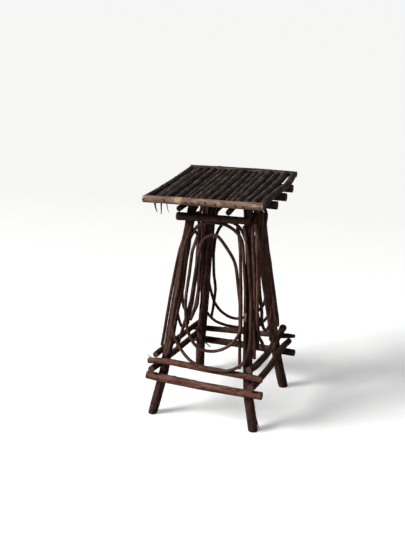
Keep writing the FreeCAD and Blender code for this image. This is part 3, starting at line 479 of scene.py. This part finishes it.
def grown(name, places, radii, look, material, worn=()):
    """A stick of bark round a middle line, with a sawn cap of fine rings at each end.

    Each row of worn is where along the stick a peeled patch starts and ends, and how bare it is."""
    cap_girth, cap_step = 0.965, 0.00003
    cap_shares = cap_girth * np.array([0.0, 0.12, 0.26, 0.4, 0.55, 0.7, 0.84, 0.94, 1.0])
    cap = len(cap_shares)
    dome = cap_step * np.arange(cap)[:, None]
    lengths = walked(places)
    rows = np.concatenate((
        places[0] - unit(places[0] - places[1]) * dome,
        places[1:-1],
        places[-1] - unit(places[-1] - places[-2]) * dome[::-1],
    ))
    girths = np.concatenate((radii[0] * cap_shares, radii[1:-1], radii[-1] * cap_shares[::-1]))
    runs = np.concatenate((np.full(cap, lengths[0]), lengths[1:-1], np.full(cap, lengths[-1])))
    cuts = np.zeros(len(rows))
    cuts[:cap] = 1
    cuts[-cap:] = 1
    bare = np.zeros(len(rows))
    faded_at = 1.6
    for start, end, strength in worn:
        away = abs(runs / lengths[-1] - (start + end) / 2) / (end - start) * 2
        bare = np.maximum(bare, strength * np.clip(faded_at - away, 0, 1))
    # Each stick takes its own stretch of the bark pattern, which its name picks.
    stretches, stretch = 977, 1.7
    seed = sum((place + 1) * ord(letter) for place, letter in enumerate(name)) % stretches
    runs = runs + seed * stretch
    wire = bpy.data.meshes.new(name + "_line")
    wire.from_pydata(rows.tolist(), [(index, index + 1) for index in range(len(rows) - 1)], [])
    for attribute, values in (("girth", girths), ("cut", cuts), ("run", runs), ("worn", bare)):
        layer = wire.attributes.new(attribute, "FLOAT", "POINT")
        layer.data.foreach_set("value", values.astype(np.float32))
    rig = bpy.data.objects.new(name + "_line", wire)
    bpy.context.collection.objects.link(rig)
    modifier = rig.modifiers.new("bark", "NODES")
    modifier.node_group = bark_tree
    for socket, value in (
        ("Facets", look["facets"]), ("Lump height", look["lump"]), ("Furrow height", look["furrow"]),
        ("Knot height", look["knot"]), ("Inset", look["inset"]),
        ("Bark", material), ("End grain", end_grain),
    ):
        modifier[bark_sockets[socket]] = value
    bpy.context.view_layer.update()
    graph = bpy.context.evaluated_depsgraph_get()
    mesh = bpy.data.meshes.new_from_object(
        rig.evaluated_get(graph), preserve_all_data_layers=True, depsgraph=graph
    )
    bpy.data.objects.remove(rig)
    mesh.name = name
    piece = bpy.data.objects.new(name, mesh)
    bpy.context.collection.objects.link(piece)
    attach(piece, "root")
    return piece


def level_ends(mesh, places):
    """Turn the two sawn ends of a leaning stick level, easing the turn out over its last 30 mm."""
    eased_reach, lean_rings = 0.03, 10
    points = np.empty(len(mesh.vertices) * 3)
    mesh.vertices.foreach_get("co", points)
    points = points.reshape(-1, 3)
    for end, inner in ((0, lean_rings), (-1, -1 - lean_rings)):
        way = unit(places[inner] - places[end])
        away = points - places[end]
        ahead = away @ way
        aside = away - ahead[:, None] * way
        points[:, 2] -= aside[:, 2] * np.clip(1 - ahead / eased_reach, 0, 1)
    low, high = places[0, 2], places[-1, 2]
    points[:, 2] = np.clip(points[:, 2], low, high)
    mesh.vertices.foreach_set("co", points.reshape(-1))
    mesh.update()


def bark_stick(
    label, material, along, look, step=0.006, reach=0.018, turning=False, worn=(), level=False
):
    """Wrap a CAD stick's middle line in bark. A level one has its ends sawn level with the floor.

    The line is measured at every step along it, from skin within reach of the last place."""
    places, radii = middle_line(label, along, step, reach, turning)
    spacing, easing = 0.0013, 6
    lengths = walked(places)
    even = np.linspace(0, lengths[-1], int(lengths[-1] / spacing))
    places = np.column_stack([np.interp(even, lengths, column) for column in places.T])
    places = eased(places, easing)
    radii = eased(np.interp(even, lengths, radii), easing)
    if level:
        low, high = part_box(label)
        places[:, 2] = low[2] + (places[:, 2] - places[0, 2]) * (
            (high[2] - low[2]) / (places[-1, 2] - places[0, 2])
        )
    piece = grown(label + "_bark", places, radii, look, material, worn)
    if level:
        level_ends(piece.data, places)
    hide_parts(label)


for label in LEGS:
    bark_stick(label, dark_bark, (0, 0, 1), leg_look, level=True)

# The rails round the feet: two to each side, stacked crosswise past the corners like the logs of
# a cabin and nailed through to the legs. The two in front have thinner, redder bark.

# Thin bark rubbed down by hands and feet, so that more of its reddish brown shows, with painted shade in
# its furrows and a painted highlight on its ridges.
warm_bark = bark_material(
    "thin_reddish_hickory_bark", "#1f100c", "#503329", "#82655a", "#6a4032", 0.6, 0.55
)
rail_look = {"facets": 52, "lump": 0.0006, "furrow": 0.0005, "knot": 0.0012, "inset": 0.0002}
WARM_RAILS = ("front_lower_rail", "front_upper_rail")
for side in ("front", "back", "left", "right"):
    for level in ("lower", "upper"):
        label = f"{side}_{level}_rail"
        along = (1, 0, 0) if side in ("front", "back") else (0, 1, 0)
        bark, slot_name = (warm_bark, "warm_bark") if label in WARM_RAILS else (dark_bark, "dark_bark")
        bark_stick(label, bark, along, rail_look)

# The frame under the top: two rails nailed across the legs, two side rails laid over them and
# three bearers across those, all sticks of the same dark bark with sawn ends that show.
frame_look = {"facets": 48, "lump": 0.0006, "furrow": 0.0005, "knot": 0.0012, "inset": 0.0002}
for label in ("front_top_rail", "back_top_rail", "front_bearer", "middle_bearer", "back_bearer"):
    bark_stick(label, dark_bark, (1, 0, 0), frame_look)
for label in ("left_side_rail", "right_side_rail"):
    bark_stick(label, dark_bark, (0, 1, 0), frame_look)

# The top: seventeen sticks laid side by side and nailed down to the bearers, each as crooked and
# as thick as it grew, their bark worn smoother on top than that of the frame.
slat_look = {"facets": 44, "lump": 0.0009, "furrow": 0.0003, "knot": 0.0012, "inset": 0.0003}
# The darkest bark of the stand, matt and unpolished, with painted shade in its furrows and a painted
# highlight greying its ridges.
slat_bark = bark_material(
    "smooth_dark_hickory_bark", "#080403", "#221815", "#6b5b54", "#3a251f", 0.35, 0.5
)
for number in range(1, 18):
    bark_stick(f"slat_{number:02d}", slat_bark, (0, 1, 0), slat_look)

# The edge strips: a straighter, paler stick nailed along the slats' front ends and one along
# their back ends. The front one has lost its dark outer bark and shows grey-brown.
# Bare inner bark, dry and matt, with the pale wood showing in a few chipped places, painted shade in its
# furrows and a painted highlight on its ridges.
strip_bark = bark_material(
    "pale_worn_strip_bark", "#37261e", "#745d50", "#a59388", "#876653", 0.6, 0.6
)
STRIP_PATCHES = (
    (0.0, 0.02, 0.5), (0.27, 0.34, 0.53), (0.62, 0.66, 0.45), (0.7, 0.715, 0.4), (0.93, 0.95, 0.4),
)
strip_look = {"facets": 48, "lump": 0.0004, "furrow": 0.0003, "knot": 0.0008, "inset": 0.0004}
for label, bark, patches in (
    ("front_edge_strip", strip_bark, STRIP_PATCHES), ("back_edge_strip", slat_bark, ()),
):
    bark_stick(label, bark, (1, 0, 0), strip_look, worn=patches)

# The twigs: green shoots as thick as a pencil, bent into two arches and two loops on each side
# and nailed where they cross. Their young bark is smooth, with small joints where leaves grew.
# Thin bark of one year's growth, dried to a warm brown with a faint natural sheen, painted shade in its
# furrows and a painted highlight on its ridges.
twig_bark = bark_material(
    "young_twig_bark", "#160c09", "#3c2720", "#6f584d", "#523125", 0.6, 0.55
)
twig_look = {"facets": 20, "lump": 0.0004, "furrow": 0.00012, "knot": 0.0008, "inset": 0.0001}
BARE_TWIGS = {
    "front_outer_arch": ((0.145, 0.185, 0.5),),
    "front_outer_loop": ((0.72, 0.728, 0.4),),
    "front_inner_arch": ((0.635, 0.643, 0.4),),
}
for side in ("front", "right", "back", "left"):
    for kind, along in (("outer_arch", 1), ("inner_arch", 1), ("outer_loop", -1), ("inner_loop", -1)):
        bark_stick(
            f"{side}_{kind}", twig_bark, (0, 0, along), twig_look,
            step=0.005, reach=0.0118, turning=True, worn=BARE_TWIGS.get(f"{side}_{kind}", ()),
        )

# Loose ends: shreds of bark that hang from the front strip and the front rail, splinters at a
# rail's end and a foot, and two broken shoots. Rows are a start, a bend, an end, girth and taper.
LOOSE_ENDS = {
    "strip_shred_left": (
        (-0.1205, -0.181, 0.6325), (-0.1195, -0.183, 0.618), (-0.1145, -0.181, 0.608), 0.0026, 0.6,
    ),
    "strip_shred_middle": (
        (-0.103, -0.181, 0.6325), (-0.102, -0.184, 0.617), (-0.1035, -0.182, 0.603), 0.0024, 0.6,
    ),
    "strip_shred_right": (
        (-0.0875, -0.181, 0.6325), (-0.0865, -0.183, 0.618), (-0.081, -0.181, 0.608), 0.0014, 0.6,
    ),
    "rail_shred": (
        (-0.1125, -0.171, 0.119), (-0.113, -0.175, 0.11), (-0.1135, -0.174, 0.1025), 0.0012, 0.6,
    ),
    "rail_end_splinter": (
        (-0.158, -0.155, 0.178), (-0.165, -0.155, 0.183), (-0.1705, -0.155, 0.1845), 0.0014, 0.7,
    ),
    "foot_splinter_long": (
        (0.1435, -0.156, 0.052), (0.151, -0.158, 0.034), (0.1575, -0.157, 0.008), 0.002, 0.6,
    ),
    "foot_splinter_short": (
        (0.1425, -0.158, 0.042), (0.149, -0.161, 0.026), (0.1525, -0.161, 0.005), 0.0018, 0.6,
    ),
    "broken_shoot_front": (
        (0.108, -0.102, 0.599), (0.115, -0.102, 0.607), (0.1225, -0.1, 0.6135), 0.0016, 0.3,
    ),
    "broken_shoot_back": (
        (-0.109, 0.136, 0.111), (-0.099, 0.134, 0.102), (-0.0874, 0.1332, 0.0931), 0.0022, 0.3,
    ),
}
loose_look = {"facets": 10, "lump": 0.0002, "furrow": 0.0001, "knot": 0.0, "inset": 0.0}
loose_rings = 16
for name, (start, bend, end, girth, taper) in LOOSE_ENDS.items():
    share = np.linspace(0, 1, loose_rings)[:, None]
    start, bend, end = np.array(start), np.array(bend), np.array(end)
    places = start * (1 - share) ** 2 + bend * 2 * share * (1 - share) + end * share ** 2
    grown(name, places, girth * (1 - taper * share[:, 0]), loose_look, twig_bark)

# The nails: round-headed wire nails of plain steel, driven almost flush and rusted nearly black,
# with a little bare metal left between the patches of rust, each about 1.1 mm across.
rust_patches_per_metre = 900.0
nail_steel, tree, shader = new_material("rusted_nail_steel")
spot = add(tree, "ShaderNodeTexCoord").outputs["Object"]
rust = add(
    tree, "ShaderNodeTexNoise", {"Vector": spot, "Scale": rust_patches_per_metre, "Detail": 4.0}
).outputs["Fac"]
stained = add(tree, "ShaderNodeValToRGB", {"Fac": rust}, ((0.35, "#1b1411"), (0.7, "#4a2c1e")))
tree.links.new(stained.outputs["Color"], shader.inputs["Base Color"])
rough = add(tree, "ShaderNodeMapRange", {"Value": rust, "To Min": 0.45, "To Max": 0.9}).outputs[0]
tree.links.new(rough, shader.inputs["Roughness"])
metal = add(tree, "ShaderNodeMapRange", {"Value": rust, "From Min": 0.6, "From Max": 0.4}).outputs[0]
tree.links.new(metal, shader.inputs["Metallic"])
bump = add(tree, "ShaderNodeBump", {"Height": rust, "Strength": 0.5, "Distance": 0.0002})
tree.links.new(bump.outputs[0], shader.inputs["Normal"])
for label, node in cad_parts.items():
    if label.endswith("nails"):
        node.data.materials.clear()
        node.data.materials.append(nail_steel)

# The floor: a seamless pale sheet that fills the view. The camera sees it nearly white, while it
# throws back less light than that on the dark stand, as in an overexposed photograph.
floor_mesh = bpy.data.meshes.new("floor")
reach = 30.0
floor_mesh.from_pydata(
    [(-reach, -reach, 0), (reach, -reach, 0), (reach, reach, 0), (-reach, reach, 0)], [], [(0, 1, 2, 3)]
)
floor = bpy.data.objects.new("floor", floor_mesh)
bpy.context.collection.objects.link(floor)
# Matt white paper, a little brighter near the camera than far behind the stand.
paper, tree, shader = new_material("white_seamless_paper")
seen = add(tree, "ShaderNodeLightPath").outputs["Is Camera Ray"]
shown = add(
    tree, "ShaderNodeMix",
    {"Factor": seen, "A": colour("#9a9a9a"), "B": colour("#e0e0df")}, data_type="RGBA",
).outputs["Result"]
tree.links.new(shown, shader.inputs["Base Color"])
shader.inputs["Roughness"].default_value = 0.9
shader.inputs["Specular IOR Level"].default_value = 0.1
spot = add(tree, "ShaderNodeTexCoord").outputs["Object"]
back = add(tree, "ShaderNodeSeparateXYZ", {"Vector": spot}).outputs["Y"]
white = add(
    tree, "ShaderNodeMapRange",
    {"Value": back, "From Min": 0.4, "From Max": 2.0, "To Min": 0.33, "To Max": 0.2},
).outputs[0]
lift = add(tree, "ShaderNodeMath", {0: seen, 1: white}, operation="MULTIPLY").outputs[0]
glow = add(tree, "ShaderNodeEmission", {"Color": (1, 1, 1, 1), "Strength": lift}).outputs[0]
both = add(tree, "ShaderNodeAddShader", {0: shader.outputs[0], 1: glow}).outputs[0]
tree.links.new(both, tree.nodes["Material Output"].inputs["Surface"])
floor_mesh.materials.append(paper)

# The light: a white sky that lights the stand only weakly, a broad sun like a big window on the
# left, and a faint fill from the right.
sky_on_stand, sky_in_gloss = 0.08, 0.45
world = bpy.data.worlds.new("studio")
bpy.context.scene.world = world
world.use_nodes = True
tree = world.node_tree
path = add(tree, "ShaderNodeLightPath").outputs
level = add(
    tree, "ShaderNodeMapRange", {"Value": path["Is Camera Ray"], "To Min": sky_on_stand, "To Max": 1.0}
)
sheen = add(tree, "ShaderNodeMath", {0: path["Is Glossy Ray"], 1: sky_in_gloss}, operation="MULTIPLY")
level = add(
    tree, "ShaderNodeMath", {0: level.outputs[0], 1: sheen.outputs[0]}, operation="MAXIMUM"
).outputs[0]
sky = tree.nodes["Background"]
sky.inputs["Color"].default_value = (1, 1, 1, 1)
tree.links.new(level, sky.inputs["Strength"])

window = bpy.data.lights.new("window_left", "SUN")
window.energy = 5.0
window.angle = math.radians(25)
fill = bpy.data.lights.new("fill_right", "AREA")
fill.size = 1.6
fill.energy = 5.0
aim = Vector((0, 0, 0.3))
for lamp, place in ((window, (-1.9, -1.4, 1.9)), (fill, (1.8, -1.8, 1.4))):
    holder = bpy.data.objects.new(lamp.name, lamp)
    bpy.context.collection.objects.link(holder)
    holder.location = place
    holder.rotation_euler = (aim - Vector(place)).to_track_quat("-Z", "Y").to_euler()

# The camera: in front and to the right of the stand, well above its top and looking down on it,
# turned 20.5 degrees to the side and tipped 19.7 degrees down as in the photograph.
camera_place = (0.750216, -2.170178, 1.221445)
turned, tipped, rolled = 20.483, 90 - 19.656, -0.8
lens = bpy.data.cameras.new("camera")
lens.sensor_width = 36.0
lens.sensor_fit = "AUTO"
lens.lens = 58.2
lens.clip_end = 100.0
camera = bpy.data.objects.new("camera", lens)
bpy.context.collection.objects.link(camera)
camera.matrix_world = (
    Matrix.Translation(camera_place)
    @ Matrix.Rotation(math.radians(turned), 4, "Z")
    @ Matrix.Rotation(math.radians(tipped), 4, "X")
    @ Matrix.Rotation(math.radians(rolled), 4, "Z")
)
bpy.context.scene.camera = camera
bpy.context.scene.view_settings.view_transform = "Standard"
